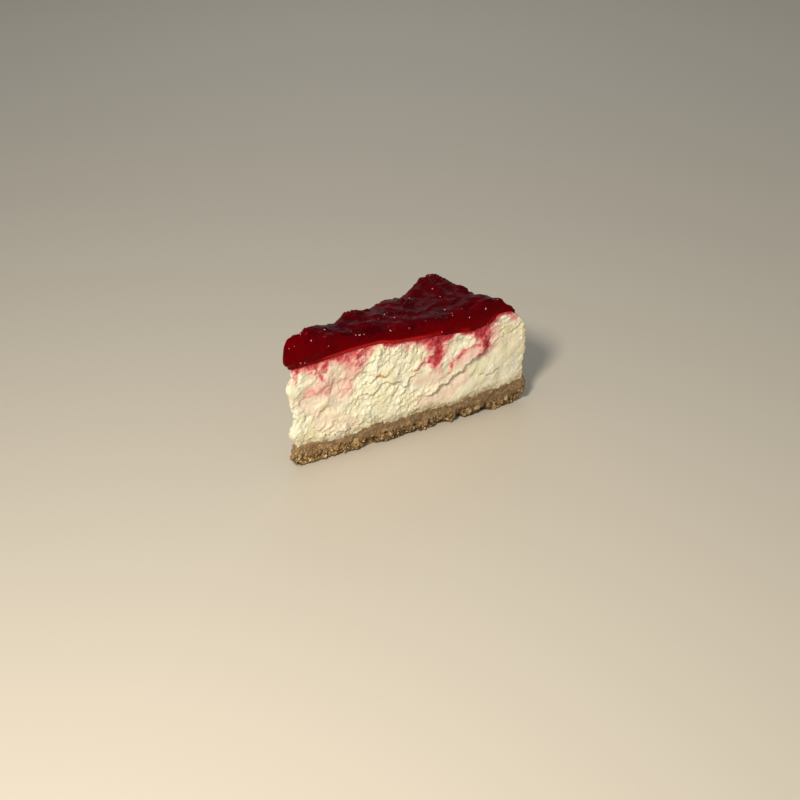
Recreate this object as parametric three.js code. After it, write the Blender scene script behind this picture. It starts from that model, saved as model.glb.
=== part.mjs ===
// One slice of baked cheesecake: a crumbly biscuit base, a set cheese filling and a cooked berry topping.
// Units are millimetres. The tip points along -X, the baked outer rim along +X, and the base rests on z = 0.
// Shapes are worked out round the centre of the whole cake. The group then moves the slice over its origin.

import * as THREE from 'three';

const { clamp, degToRad, lerp, smoothstep } = THREE.MathUtils;

// Driving dimensions of the whole cake and of the slice cut from it
const CAKE_RADIUS = 120;
const HALF_ANGLE = degToRad(22.5 / 2);
const LAYER_GAP = 0.3;
const ORIGIN_FROM_TIP = 60.1;

// How far each layer stands out from the two planes of the knife, and in from the cake's outer edge
const BASE_OUTSET = 0.5;
const BASE_RIM_INSET = 0.3;
const FILLING_OUTSET = 0.1;
const FILLING_RIM_INSET = 1.6;
const CORNER_ROUND = 0.9;

// Where the layers meet, as [distance from the tip, height]
const BASE_TOP = profile([
  [2, 11.6], [10, 11], [16, 9.9], [27, 9.2], [40, 10.9], [50, 9.9], [70, 10.5], [80, 9.9], [90, 10.7],
  [100, 11.4], [118, 12.9],
]);
const FILLING_TOP = profile([
  [3, 50], [12, 50.2], [32, 51.6], [42, 51.6], [54, 49.4], [70, 48], [80, 46.9], [89, 45.7], [97, 46.6],
  [106, 49.4],
]);

// The base: crumbs low down, a smooth smear higher up, and the foot that stands in from its lower edge,
// further under a chip by a share of the chip's height
const CRUMB_SIZE = 4.4;
const CRUMB_RELIEF = 1.3;
const SMEAR_RELIEF = 0.35;
const SMEAR_FROM = 5;
const SMEAR_FULL = 8;
const EDGE_LIFT = 0.5;
const EDGE_INSET = 0.9;
const FOOT_INSET = 2.4;
const FOOT_CORNER = 4.5;
const FOOT_UNDER_CHIP = 0.6;

// Chips out of the base's lower edge, as [distance from the tip, radius, height] along the two cut faces,
// and [place across, from -1 to 1, radius, height] along the rim. A chip has its full height inside CHIP_CORE
// of its radius.
const CHIP_CORE = 0.55;
const FRONT_CHIPS = [
  [0, 4.6, 3.2], [39, 4.4, 3], [58, 3, 0.9], [76, 4, 2.2], [83, 4, 2.5], [97, 3.4, 2.1], [120, 9, 6],
];
const BACK_CHIPS = [[21, 4, 1.6], [47, 5, 2.4], [70, 3.4, 1.4], [92, 4.4, 2.6], [118, 5, 3]];
const RIM_CHIPS = [[-0.25, 4, 2.2], [0.15, 5, 1.2], [0.55, 4, 2.4]];
const BASE_CHIPS = [...FRONT_CHIPS.map(onFace(-1)), ...BACK_CHIPS.map(onFace(1)), ...RIM_CHIPS.map(onRim)];

// The filling rolls over to the baked rim along a quarter of an ellipse, and sags a little there at the back
const SHOULDER_START = 108;
const SHOULDER_WIDTH = CAKE_RADIUS - FILLING_RIM_INSET - SHOULDER_START;
const SHOULDER_DROP = 13;
const RIM_SAG = 1.7;
const RIM_SAG_FROM = 92;

// Soft lumps of the filling: the cut faces are rougher than the baked rim
const CURD_SIZE = 8;
const CUT_RELIEF = 0.9;
const RIM_RELIEF = 0.4;

// How the filling's tip wanders in and out with height, and how far back from the tip that is felt
const TIP_REACH = 4;
const TIP_WANDER = profile([
  [11, 0.5], [16.5, -1.4], [23.5, 0.4], [29.5, -0.9], [38, -2.3], [45, 0.6], [50, 0.9],
]);

// Tears in the two cut faces of the filling, as a line of [distance from the tip, height], how far the face
// above stands proud and how far up that is felt. Just below, the face is sunk by a share of it.
const TEAR_SUNK = 0.6;
const TEAR_BELOW = 1 / 3;
const TEAR_SOFT = 1.2;
const TEAR_FADE = 3;
const FRONT_TEARS = [
  tear([[69, 19], [74, 21.4], [80, 25.7], [88, 30.8], [95, 33], [98, 36.4], [104, 43]], 1.3, 9),
  tear([[40, 33.4], [43.6, 35], [47, 33.6]], 0.8, 4),
  tear([[49, 30.6], [56, 28.3], [61, 29.6]], 0.9, 4),
  tear([[34, 27.6], [40, 27], [48, 30.4]], 0.8, 5),
  tear([[61, 33.6], [66.6, 36.3], [71, 38.2]], 0.8, 4),
  tear([[9, 25.6], [14.5, 24], [18, 26.2]], 0.6, 4),
  tear([[93, 21.2], [100, 20.5], [108, 23.7]], 0.7, 5),
  tear([[99, 30.6], [108, 33], [116, 36]], 0.6, 4),
];
const BACK_TEARS = [
  tear([[24, 22], [34, 25.6], [43, 30.6], [52, 31.8]], 1.2, 8),
  tear([[66, 35.4], [74, 37.2], [82, 35.6]], 0.9, 5),
  tear([[60, 22.4], [71, 20.6], [80, 23.4]], 0.8, 6),
  tear([[92, 29.8], [101, 33.6], [111, 34.2]], 0.9, 6),
  tear([[12, 35.6], [18, 38.2], [24, 37]], 0.6, 4),
  tear([[88, 18.4], [97, 19.8], [106, 18.6]], 0.6, 4),
];

// The topping in plan: it bulges over the tip, stands out past the cut faces, and ends short of the rim,
// more so in the middle (hollow) and at the back (skew)
const TOPPING_NOSE = 0.9;
const NOSE_LENGTH = 3.5;
const NOSE_HALF_WIDTH = 0.3;
const NOSE_RISE = 3;
const NOSE_FULLNESS = 0.35;
const NOSE_REACH = 0.85;
const NOSE_REACH_ENDS = 6;
const TOPPING_OUTSET = 0.7;
const TOPPING_END = 112.6;
const END_OUTSET = -0.6;
const END_TAPER = 20;
const TOPPING_HOLLOW = 5;
const TOPPING_SKEW = 5;

// The topping's upper edges at the front and the back, as [distance from the tip, height], and its crown
// between them
const FRONT_CREST = profile([
  [0, 60.5], [20, 60.2], [40, 57.4], [55, 56], [88, 55.6], [100, 58], [105, 57], [110, 52.4], [113, 49.6],
]);
const BACK_CREST = profile([
  [0, 62], [20, 61], [31, 57.6], [42, 60.4], [49, 58.6], [56, 56], [66, 56.4], [77, 53.6], [84, 55], [92, 58.4],
  [97, 57.6], [102, 54], [108, 50.5], [113, 48],
]);
const CROWN = profile([[0, 2.4], [15, 2], [40, 0.6], [86, 0.3], [98, -0.6]]);

// The topping's surface: berry lumps on top, a rounded upper edge, and sides that belly out
const BERRY_SIZE = 7;
const BERRY_RELIEF = 1.7;
const CREST_ROUND = 1.3;
const CREST_SHARPNESS = 8;
const CREST_WIDTH = 0.985;
const SIDE_BELLY = 1.1;
const THINNEST = 0.7;
const BERRIES_AT_END = 0.35;

// Mesh density: steps round half an outline, up each wall, and along and across the topping
const NOSE_STEPS = 2;
const FACE_STEPS = 59;
const CORNER_STEPS = 2;
const RIM_STEPS = 12;
const BASE_WALL_STEPS = 6;
const FILLING_WALL_STEPS = 13;
const SHOULDER_STEPS = 7;
const TOPPING_STEPS = 66;
const TOPPING_ACROSS = 12;
const TOPPING_SIDE = 4;

// Each layer's own noise
const SEEDS = { base: 11, filling: 21, topping: 31 };

// A height that runs smoothly through [distance, height] pairs, and stays level past both ends
function profile(knots) {
  return (distance) => {
    const next = knots.findIndex(([d]) => d > distance);
    if (next === 0) return knots[0][1];
    if (next < 0) return knots[knots.length - 1][1];
    const [d0, h0] = knots[next - 1];
    const [d1, h1] = knots[next];
    return lerp(h0, h1, smoothstep(distance, d0, d1));
  };
}

function tear(knots, proud, reach) {
  const ends = [knots[0][0], knots[knots.length - 1][0]];
  return { height: profile(knots), ends, proud, reach };
}

// One corner value of the noise, from -1 to 1, the same for the same corner every time
function cornerValue(ix, iy, iz, seed) {
  let h = Math.imul(ix, 0x8da6b343) ^ Math.imul(iy, 0xd8163841) ^ Math.imul(iz, 0xcb1ab31f);
  h ^= Math.imul(seed, 0x9e3779b1);
  h = Math.imul(h ^ (h >>> 15), 0x2c1b3c6d);
  h = Math.imul(h ^ (h >>> 12), 0x297a2d39);
  return (((h ^ (h >>> 15)) >>> 0) / 0xffffffff) * 2 - 1;
}

// Smooth noise in space, from -1 to 1, with bumps about as wide as size
function noise(point, size, seed) {
  const cell = point.clone().divideScalar(size);
  const low = cell.clone().floor();
  const part = cell.sub(low);
  const [fx, fy, fz] = part.toArray().map((t) => t * t * (3 - 2 * t));
  const corner = (dx, dy, dz) => cornerValue(low.x + dx, low.y + dy, low.z + dz, seed);
  const alongX = (dy, dz) => lerp(corner(0, dy, dz), corner(1, dy, dz), fx);
  return lerp(lerp(alongX(0, 0), alongX(1, 0), fy), lerp(alongX(0, 1), alongX(1, 1), fy), fz);
}

// Lumps of two sizes, the smaller ones lower
function lumps(point, relief, size, seed) {
  const coarse = 0.65;
  const fineSize = 0.45 * size;
  return relief * (coarse * noise(point, size, seed) + (1 - coarse) * noise(point, fineSize, seed + 1));
}

function tearRelief({ height, ends, proud, reach }, distance, z) {
  const starts = smoothstep(distance, ends[0] - TEAR_FADE, ends[0] + TEAR_FADE);
  const stops = 1 - smoothstep(distance, ends[1] - TEAR_FADE, ends[1] + TEAR_FADE);
  const above = z - height(distance);
  const upper = Math.exp(-Math.max(above, 0) / reach);
  const lower = -TEAR_SUNK * Math.exp(Math.min(above, 0) / (reach * TEAR_BELOW));
  return proud * starts * stops * lerp(lower, upper, smoothstep(above, -TEAR_SOFT, TEAR_SOFT));
}

function onFace(side) {
  return ([distance, radius, height]) => {
    const angle = side * HALF_ANGLE;
    return { x: distance * Math.cos(angle), y: distance * Math.sin(angle), radius, height };
  };
}

function onRim([across, radius, height]) {
  const angle = across * HALF_ANGLE;
  return { x: CAKE_RADIUS * Math.cos(angle), y: CAKE_RADIUS * Math.sin(angle), radius, height };
}

function chipHeight(x, y) {
  const heights = BASE_CHIPS.map((chip) => {
    const away = Math.hypot(x - chip.x, y - chip.y);
    return chip.height * (1 - smoothstep(away, chip.radius * CHIP_CORE, chip.radius));
  });
  return Math.max(...heights);
}

// Half of a layer's outline seen from above, from the tip along the front face to the middle of the rim.
// A sharp wedge is drawn inside it, and each station stands off that wedge by the rounding of its corners,
// which at the rim's corners may be larger than at the tip.
function halfOutline(rimRadius, outset, cornerRound) {
  const core = rimRadius - cornerRound;
  const faceAngle = -Math.PI / 2 - HALF_ANGLE;
  const cornerAngle = -HALF_ANGLE + Math.asin((cornerRound - outset) / core);
  const tip = new THREE.Vector2((CORNER_ROUND - outset) / Math.sin(HALF_ANGLE), 0);
  const corner = new THREE.Vector2(core * Math.cos(cornerAngle), core * Math.sin(cornerAngle));
  const stations = [];
  const add = (point, angle, round, side) => {
    const out = new THREE.Vector3(Math.cos(angle), Math.sin(angle), 0);
    const x = point.x + round * out.x;
    const y = point.y + round * out.y;
    stations.push({ x, y, out, side, distance: point.length() });
  };
  for (let i = 0; i < NOSE_STEPS; i++) {
    add(tip, lerp(-Math.PI, faceAngle, i / NOSE_STEPS), CORNER_ROUND, 'front');
  }
  for (let i = 0; i < FACE_STEPS; i++) {
    const share = i / FACE_STEPS;
    add(tip.clone().lerp(corner, share), faceAngle, lerp(CORNER_ROUND, cornerRound, share), 'front');
  }
  for (let i = 0; i < CORNER_STEPS; i++) {
    add(corner, lerp(faceAngle, cornerAngle, i / CORNER_STEPS), cornerRound, 'front');
  }
  for (let i = 0; i <= RIM_STEPS; i++) {
    const angle = cornerAngle * (1 - i / RIM_STEPS);
    add(new THREE.Vector2(core * Math.cos(angle), core * Math.sin(angle)), angle, cornerRound, 'rim');
  }
  return stations;
}

// The whole outline: the half, and its mirror image back to the tip
function outline(rimRadius, outset, cornerRound = CORNER_ROUND) {
  const half = halfOutline(rimRadius, outset, cornerRound);
  const mirrored = half.slice(1, -1).reverse().map((station) => ({
    ...station,
    y: -station.y,
    out: new THREE.Vector3(station.out.x, -station.out.y, 0),
    side: station.side === 'rim' ? 'rim' : 'back',
  }));
  return [...half, ...mirrored];
}

// Triangles that close a loop of points: rungs run between the points k steps either way from its first one
function ladder(loop) {
  const triangles = [];
  for (let i = 0; i < loop.length / 2; i++) {
    const near = loop[i];
    const nearNext = loop[i + 1];
    const farNext = loop[loop.length - i - 1];
    const far = loop[(loop.length - i) % loop.length];
    if (nearNext !== farNext) triangles.push(near, nearNext, farNext);
    if (near !== far) triangles.push(near, farNext, far);
  }
  return triangles;
}

// A closed solid from rings of points, all with the same count, that run anticlockwise seen from the last ring.
// Its two ends are closed by ladders that start from the point numbered first.
function ringSolid(rings, first = 0) {
  const count = rings[0].length;
  const index = [];
  for (let ring = 0; ring < rings.length - 1; ring++) {
    for (let i = 0; i < count; i++) {
      const a = ring * count + i;
      const b = ring * count + ((i + 1) % count);
      index.push(a, b, b + count, a, b + count, a + count);
    }
  }
  const loop = rings[0].map((_, i) => (first + i) % count);
  const backwards = loop.map((_, i) => loop[(count - i) % count]);
  const lastRing = (rings.length - 1) * count;
  index.push(...ladder(backwards), ...ladder(loop.map((i) => lastRing + i)));
  const geometry = new THREE.BufferGeometry().setFromPoints(rings.flat());
  geometry.setIndex(index);
  geometry.computeVertexNormals();
  return geometry;
}

// The distance from the tip that a layer boundary is looked up at: the same all across the slice
function boundaryAt(height, x) {
  return height(x / Math.cos(HALF_ANGLE));
}

// The biscuit base: a flat foot, the chipped lower edge round it, and walls up to the filling
function baseGeometry() {
  const radius = CAKE_RADIUS - BASE_RIM_INSET;
  const foot = outline(radius - FOOT_INSET, BASE_OUTSET - FOOT_INSET, FOOT_CORNER).map(({ x, y, out }) => {
    return new THREE.Vector3(x, y, 0).addScaledVector(out, -FOOT_UNDER_CHIP * chipHeight(x, y));
  });
  const rings = [foot];
  const stations = outline(radius, BASE_OUTSET);
  for (let step = 0; step <= BASE_WALL_STEPS; step++) {
    const inset = step === 0 ? EDGE_INSET : 0;
    rings.push(stations.map(({ x, y, out }) => {
      const lowest = EDGE_LIFT + chipHeight(x, y);
      const point = new THREE.Vector3(x, y, lerp(lowest, boundaryAt(BASE_TOP, x), step / BASE_WALL_STEPS));
      const relief = lerp(CRUMB_RELIEF, SMEAR_RELIEF, smoothstep(point.z, SMEAR_FROM, SMEAR_FULL));
      point.addScaledVector(out, lumps(point, relief, CRUMB_SIZE, SEEDS.base) - inset);
      if (step === BASE_WALL_STEPS) point.z = boundaryAt(BASE_TOP, point.x);
      return point;
    }));
  }
  return ringSolid(rings);
}

// How far the filling's top has rolled down at a distance from the cake's centre
function shoulderDrop(radius) {
  const over = clamp((radius - SHOULDER_START) / SHOULDER_WIDTH, 0, 1);
  return SHOULDER_DROP * (1 - Math.sqrt(1 - over * over));
}

// The filling's top as if it ran on level to the rim: it sags there towards the back
function fillingLevel(x, y) {
  const across = y / (x * Math.tan(HALF_ANGLE));
  return boundaryAt(FILLING_TOP, x) - RIM_SAG * (1 + across) * smoothstep(x, RIM_SAG_FROM, SHOULDER_START);
}

function fillingTop(x, y) {
  return fillingLevel(x, y) - shoulderDrop(Math.hypot(x, y));
}

function fillingRelief(station, point) {
  const tears = { front: FRONT_TEARS, back: BACK_TEARS, rim: [] }[station.side];
  const torn = tears.reduce((sum, each) => sum + tearRelief(each, station.distance, point.z), 0);
  const relief = station.side === 'rim' ? RIM_RELIEF : CUT_RELIEF;
  return torn + lumps(point, relief, CURD_SIZE, SEEDS.filling);
}

// The filling: walls up to the shoulder, then rings that close in over it as the rim rolls to the top
function fillingGeometry() {
  const rimTop = FILLING_TOP(CAKE_RADIUS);
  const rimFoot = BASE_TOP(CAKE_RADIUS) + LAYER_GAP;
  const shoulderFoot = rimTop - SHOULDER_DROP;
  const topRing = FILLING_WALL_STEPS + SHOULDER_STEPS;
  const calmFrom = 0.9;
  const calmBy = 0.6;
  const rings = [];
  for (let step = 0; step <= topRing; step++) {
    const up = clamp(step / FILLING_WALL_STEPS, 0, 1);
    const turn = (clamp(step - FILLING_WALL_STEPS, 0, SHOULDER_STEPS) / SHOULDER_STEPS) * (Math.PI / 2);
    const rimHeight = lerp(rimFoot, shoulderFoot, up) + SHOULDER_DROP * Math.sin(turn);
    const share = (rimHeight - rimFoot) / (rimTop - rimFoot);
    const calm = 1 - calmBy * smoothstep(share, calmFrom, 1);
    const stations = outline(SHOULDER_START + SHOULDER_WIDTH * Math.cos(turn), FILLING_OUTSET);
    rings.push(stations.map((station) => {
      const low = boundaryAt(BASE_TOP, station.x) + LAYER_GAP;
      const high = fillingLevel(station.x, station.y);
      const point = new THREE.Vector3(station.x, station.y, lerp(low, high, share));
      point.addScaledVector(station.out, fillingRelief(station, point) * calm);
      point.x += TIP_WANDER(point.z) * Math.exp((stations[0].distance - station.distance) / TIP_REACH);
      if (step === 0) point.z = boundaryAt(BASE_TOP, point.x) + LAYER_GAP;
      if (step === topRing) point.z = fillingLevel(point.x, point.y);
      return point;
    }));
  }
  return ringSolid(rings);
}

// The topping's upper surface, from its front edge at across = -1 to its back edge at across = 1
function toppingTop(radius, across, point) {
  const crest = lerp(FRONT_CREST(radius), BACK_CREST(radius), (across + 1) / 2);
  const settled = lerp(1, BERRIES_AT_END, smoothstep(radius, TOPPING_END - BERRY_SIZE, TOPPING_END));
  const berries = lumps(point, BERRY_RELIEF * settled, BERRY_SIZE, SEEDS.topping);
  return crest + CROWN(radius) * (1 - across ** 2) + berries;
}

// One section across the topping: along its underside to the back, up, over the top and down its front
function toppingSection(radius) {
  const nose = Math.sqrt(1 - (1 - clamp((radius - TOPPING_NOSE) / NOSE_LENGTH, 0, 1)) ** 2);
  const taper = smoothstep(radius, TOPPING_END - END_TAPER, TOPPING_END);
  const belly = SIDE_BELLY * (1 - smoothstep(radius, TOPPING_END - NOSE_LENGTH, TOPPING_END));
  const outset = lerp(TOPPING_OUTSET, END_OUTSET, taper);
  const halfWidth = (radius * HALF_ANGLE + outset) * nose + NOSE_HALF_WIDTH;
  const forward = NOSE_REACH * (1 - smoothstep(radius, TOPPING_NOSE, NOSE_REACH_ENDS));

  // A point on the underside; the others stand over it
  const place = (across, outward = 0) => {
    const hollow = TOPPING_HOLLOW * (1 - across ** 2) + TOPPING_SKEW * (1 + across) * 0.5;
    const reach = radius - taper * hollow;
    const swing = (across * (halfWidth + outward * nose)) / radius;
    const point = new THREE.Vector3(reach * Math.cos(swing), reach * Math.sin(swing), 0);
    point.z = fillingTop(point.x, point.y) + LAYER_GAP;
    point.x -= forward;
    return point;
  };
  const risen = (point, full) => {
    const height = lerp(point.z + NOSE_RISE, full, lerp(NOSE_FULLNESS, 1, nose));
    return Math.max(point.z + THINNEST, height);
  };
  const under = (across) => place(across);
  const over = (across) => {
    const point = place(across * CREST_WIDTH);
    const full = toppingTop(radius, across, point) - CREST_ROUND * across ** CREST_SHARPNESS;
    point.z = risen(point, full);
    return point;
  };
  const side = (across) => (share) => {
    const point = place(across, belly * Math.sin(share * Math.PI));
    const full = toppingTop(radius, across, point) - CREST_ROUND;
    point.z = lerp(point.z, risen(point, full), share);
    return point;
  };
  const across = Array.from({ length: TOPPING_ACROSS + 1 }, (_, i) => (2 * i) / TOPPING_ACROSS - 1);
  const sideShares = Array.from({ length: TOPPING_SIDE - 1 }, (_, i) => (i + 1) / TOPPING_SIDE);
  return [
    ...across.map(under),
    ...sideShares.map(side(1)),
    ...across.toReversed().map(over),
    ...sideShares.toReversed().map(side(-1)),
  ];
}

// The topping: sections from its nose over the tip to its thin end near the rim
function toppingGeometry() {
  const sections = [];
  for (let step = 0; step <= TOPPING_STEPS; step++) {
    sections.push(toppingSection(lerp(TOPPING_NOSE, TOPPING_END, step / TOPPING_STEPS)));
  }
  return ringSolid(sections, TOPPING_ACROSS + TOPPING_SIDE / 2);
}

function layer(name, geometry, color, roughness) {
  const mesh = new THREE.Mesh(geometry, new THREE.MeshStandardMaterial({ color, roughness, metalness: 0 }));
  mesh.name = name;
  return mesh;
}

const slice = new THREE.Group();
slice.add(layer('biscuit_base', baseGeometry(), 0x9c7a4e, 0.9));
slice.add(layer('cheese_filling', fillingGeometry(), 0xeadfba, 0.6));
slice.add(layer('berry_topping', toppingGeometry(), 0x5e0812, 0.2));
slice.position.x = -ORIGIN_FROM_TIP;

export default slice;
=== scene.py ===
"""Looks of a slice of baked cheesecake: crumb base, torn cheese filling and berry compote.

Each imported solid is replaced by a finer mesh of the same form. Shapes are worked out in millimetres round
the centre of the whole cake, as the solids are. The meshes are then moved to the slice's own origin and
scaled to metres.
"""

import itertools
import math

import bmesh
import bpy
import numpy as np
from mathutils import Matrix, Vector


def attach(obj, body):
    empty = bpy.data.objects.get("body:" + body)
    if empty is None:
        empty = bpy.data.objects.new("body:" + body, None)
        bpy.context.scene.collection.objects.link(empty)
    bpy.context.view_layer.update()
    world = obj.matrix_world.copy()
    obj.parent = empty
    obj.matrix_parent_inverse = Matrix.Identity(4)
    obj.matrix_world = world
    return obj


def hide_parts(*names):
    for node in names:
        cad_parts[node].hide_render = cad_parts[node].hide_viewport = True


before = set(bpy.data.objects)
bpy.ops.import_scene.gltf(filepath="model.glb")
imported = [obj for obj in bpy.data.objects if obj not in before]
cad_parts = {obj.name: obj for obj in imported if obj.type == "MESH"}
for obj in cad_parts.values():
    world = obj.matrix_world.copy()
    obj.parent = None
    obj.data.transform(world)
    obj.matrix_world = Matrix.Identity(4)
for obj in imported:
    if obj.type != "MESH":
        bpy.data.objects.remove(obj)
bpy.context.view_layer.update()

MM = 0.001

# Driving dimensions of the whole cake and of the slice cut from it
CAKE_RADIUS = 120
HALF_ANGLE = math.radians(22.5 / 2)
ORIGIN_FROM_TIP = 60.1
CORNER_ROUND = 0.9

# The visible layers reach a little into each other, so that no gap shows
OVERLAP = 0.8

# The noise that each solid's own relief is made with
SOLID_SEEDS = {"base": 11, "filling": 21, "topping": 31}


def smooth(value, low, high):
    """0 below low, 1 above high, and a soft step between them"""
    share = np.clip((value - low) / (high - low), 0, 1)
    return share * share * (3 - 2 * share)


def mix(a, b, share):
    return a + (b - a) * share


def profile(knots):
    """A height that runs smoothly through (distance, height) pairs, and stays level past both ends"""
    distances, heights = np.array(knots, float).T

    def height(distance):
        start = np.clip(np.searchsorted(distances, distance, side="right") - 1, 0, len(knots) - 2)
        share = smooth(distance, distances[start], distances[start + 1])
        return mix(heights[start], heights[start + 1], share)

    return height


# Where the layers meet, as (distance from the tip, height)
BASE_TOP = profile([
    (2, 11.6), (10, 11), (16, 9.9), (27, 9.2), (40, 10.9), (50, 9.9), (70, 10.5), (80, 9.9), (90, 10.7),
    (100, 11.4), (118, 12.9),
])
FILLING_TOP = profile([
    (3, 50), (12, 50.2), (32, 51.6), (42, 51.6), (54, 49.4), (70, 48), (80, 46.9), (89, 45.7), (97, 46.6),
    (106, 49.4),
])


def boundary_at(height, x):
    return height(x / math.cos(HALF_ANGLE))


# Noise


def corner_value(cell, seed):
    """A random number from -1 to 1 for each cell corner, the same every time"""
    ix, iy, iz = np.moveaxis(cell.astype(np.int64).astype(np.uint32), -1, 0)
    h = ix * np.uint32(0x8DA6B343) ^ iy * np.uint32(0xD8163841) ^ iz * np.uint32(0xCB1AB31F)
    h ^= np.uint32(seed * 0x9E3779B1 % 2**32)
    h = (h ^ (h >> 15)) * np.uint32(0x2C1B3C6D)
    h = (h ^ (h >> 12)) * np.uint32(0x297A2D39)
    return (h ^ (h >> 15)) / 0xFFFFFFFF * 2 - 1


def noise(points, size, seed):
    """Smooth noise in space, from -1 to 1, with bumps about as wide as size"""
    low = np.floor(points / size)
    part = points / size - low
    weight = part * part * (3 - 2 * part)
    total = 0
    for corner in itertools.product((0, 1), repeat=3):
        share = np.prod(np.where(corner, weight, 1 - weight), axis=-1)
        total = total + share * corner_value(low + corner, seed)
    return total


def waves(points, *layers):
    """Noise of several sizes laid over each other, each given as (amount, size, seed)"""
    return sum(amount * noise(points, size, seed) for amount, size, seed in layers)


def lumps(points, relief, size, seed):
    coarse = 0.65
    return relief * (coarse * noise(points, size, seed) + (1 - coarse) * noise(points, 0.45 * size, seed + 1))


def shifted(points, size, amount, seed):
    """Points pushed about by noise, so that what is drawn from them wanders"""
    push = np.stack([noise(points, size, seed + axis) for axis in range(3)], axis=-1)
    return points + amount * push


COBBLE_SCATTER = 0.42


def cobbles(points, size, seed):
    """Round bumps packed side by side, 1 on top and about 0 in the creases, and each bump's own number"""
    cell = points / size
    low = np.floor(cell)
    nearest = np.full(points.shape[:-1], 9.0)
    second = nearest.copy()
    own = np.zeros_like(nearest)
    for step in itertools.product((-1, 0, 1), repeat=3):
        corner = low + step
        push = np.stack([corner_value(corner, seed + axis) for axis in range(3)], axis=-1)
        centre = corner + 0.5 + COBBLE_SCATTER * push
        away = np.linalg.norm(cell - centre, axis=-1)
        closer = away < nearest
        second = np.where(closer, nearest, np.minimum(second, away))
        own = np.where(closer, corner_value(corner, seed + 3), own)
        nearest = np.where(closer, away, nearest)
    return smooth(second - nearest, 0, 0.55) * (1 - 0.45 * nearest), own


def broken(points, size, step, seed):
    """Noise of five sizes whose slopes are gathered into small scarps, as where crumbly stuff has torn"""
    finer, lower = 1.9, 1.55
    height = sum(noise(points, size / finer**k, seed + k) / lower**k for k in range(5))
    level = height / step
    low = np.floor(level)
    return 0.35 * height + 0.65 * step * (low + smooth(level - low, 0.3, 0.7))


def along_flow(points, tilt, stretch):
    """Points turned so that their first axis rises by tilt along the cut faces, and squeezed along it"""
    x, y, z = np.moveaxis(points, -1, 0)
    along = x * math.cos(tilt) + z * math.sin(tilt)
    up = z * math.cos(tilt) - x * math.sin(tilt)
    return np.stack([along / stretch, y, up], axis=-1)


def stroke(knots, s, z):
    """1 along a line of (distance from the tip, height, half width), fading to 0 at its half width"""
    mask = np.zeros_like(s)
    for (s0, z0, w0), (s1, z1, w1) in zip(knots, knots[1:]):
        length = (s1 - s0) ** 2 + (z1 - z0) ** 2
        share = np.clip(((s - s0) * (s1 - s0) + (z - z0) * (z1 - z0)) / length, 0, 1)
        away = np.hypot(s - mix(s0, s1, share), z - mix(z0, z1, share)) / mix(w0, w1, share)
        mask = np.maximum(mask, 1 - smooth(away, 0, 1))
    return mask


def strokes(groups, side, s, z):
    """The strokes on each cut face laid over each other, given as {side: [(strength, knots), ...]}"""
    bare = np.ones_like(s)
    for which, drawn in groups.items():
        for strength, knots in drawn:
            bare *= 1 - np.where(side == which, strength * stroke(knots, s, z), 0)
    return 1 - bare


# Meshes

FRONT = -1
RIM = 0
BACK = 1


class Outline:
    """A layer's outline seen from above: from the tip along the front face, the rim and the back face"""

    def __init__(self, rim_radius, outset, steps, corner_round=CORNER_ROUND):
        nose_steps, face_steps, corner_steps, rim_steps = steps
        core = rim_radius - corner_round
        face_angle = -math.pi / 2 - HALF_ANGLE
        corner_angle = -HALF_ANGLE + math.asin((corner_round - outset) / core)
        tip = np.array([(CORNER_ROUND - outset) / math.sin(HALF_ANGLE), 0])
        corner = core * np.array([math.cos(corner_angle), math.sin(corner_angle)])
        on_face = np.arange(face_steps) / face_steps
        on_rim = corner_angle * (1 - np.arange(rim_steps + 1) / rim_steps)
        centre = np.concatenate([
            np.tile(tip, (nose_steps, 1)),
            mix(tip, corner, on_face[:, None]),
            np.tile(corner, (corner_steps, 1)),
            core * np.stack([np.cos(on_rim), np.sin(on_rim)], axis=-1),
        ])
        angle = np.concatenate([
            mix(-math.pi, face_angle, np.arange(nose_steps) / nose_steps),
            np.full(face_steps, face_angle),
            mix(face_angle, corner_angle, np.arange(corner_steps) / corner_steps),
            on_rim,
        ])
        rounding = np.full(len(angle), float(corner_round))
        rounding[:nose_steps] = CORNER_ROUND
        rounding[nose_steps:nose_steps + face_steps] = mix(CORNER_ROUND, corner_round, on_face)
        out = np.stack([np.cos(angle), np.sin(angle), np.zeros_like(angle)], axis=-1)
        side = np.full(len(angle), FRONT)
        side[-rim_steps - 1:] = RIM
        distance = np.linalg.norm(centre, axis=-1)
        place = centre + rounding[:, None] * out[:, :2]
        back = slice(-2, 0, -1)
        flip = np.array([1, -1, 1])
        self.place = np.concatenate([place, place[back] * flip[:2]])
        self.out = np.concatenate([out, out[back] * flip])
        self.side = np.concatenate([side, -side[back]])
        self.distance = np.concatenate([distance, distance[back]])


def grid_normals(grid):
    """Outward unit normals of a grid of rings whose points run anticlockwise seen from the last ring"""
    around = np.roll(grid, -1, axis=1) - np.roll(grid, 1, axis=1)
    up = np.gradient(grid, axis=0)
    normals = np.cross(around, up)
    return normals / np.maximum(np.linalg.norm(normals, axis=-1, keepdims=True), 1e-9)


def ladder(loop):
    """Faces that close a loop of points by rungs between the points k steps either way from its first one"""
    faces = []
    count = len(loop)
    for i in range(count // 2):
        rung = [loop[i], loop[i + 1], loop[count - i - 1], loop[(count - i) % count]]
        faces.append(list(dict.fromkeys(rung)))
    return [face for face in faces if len(face) > 2]


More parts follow.
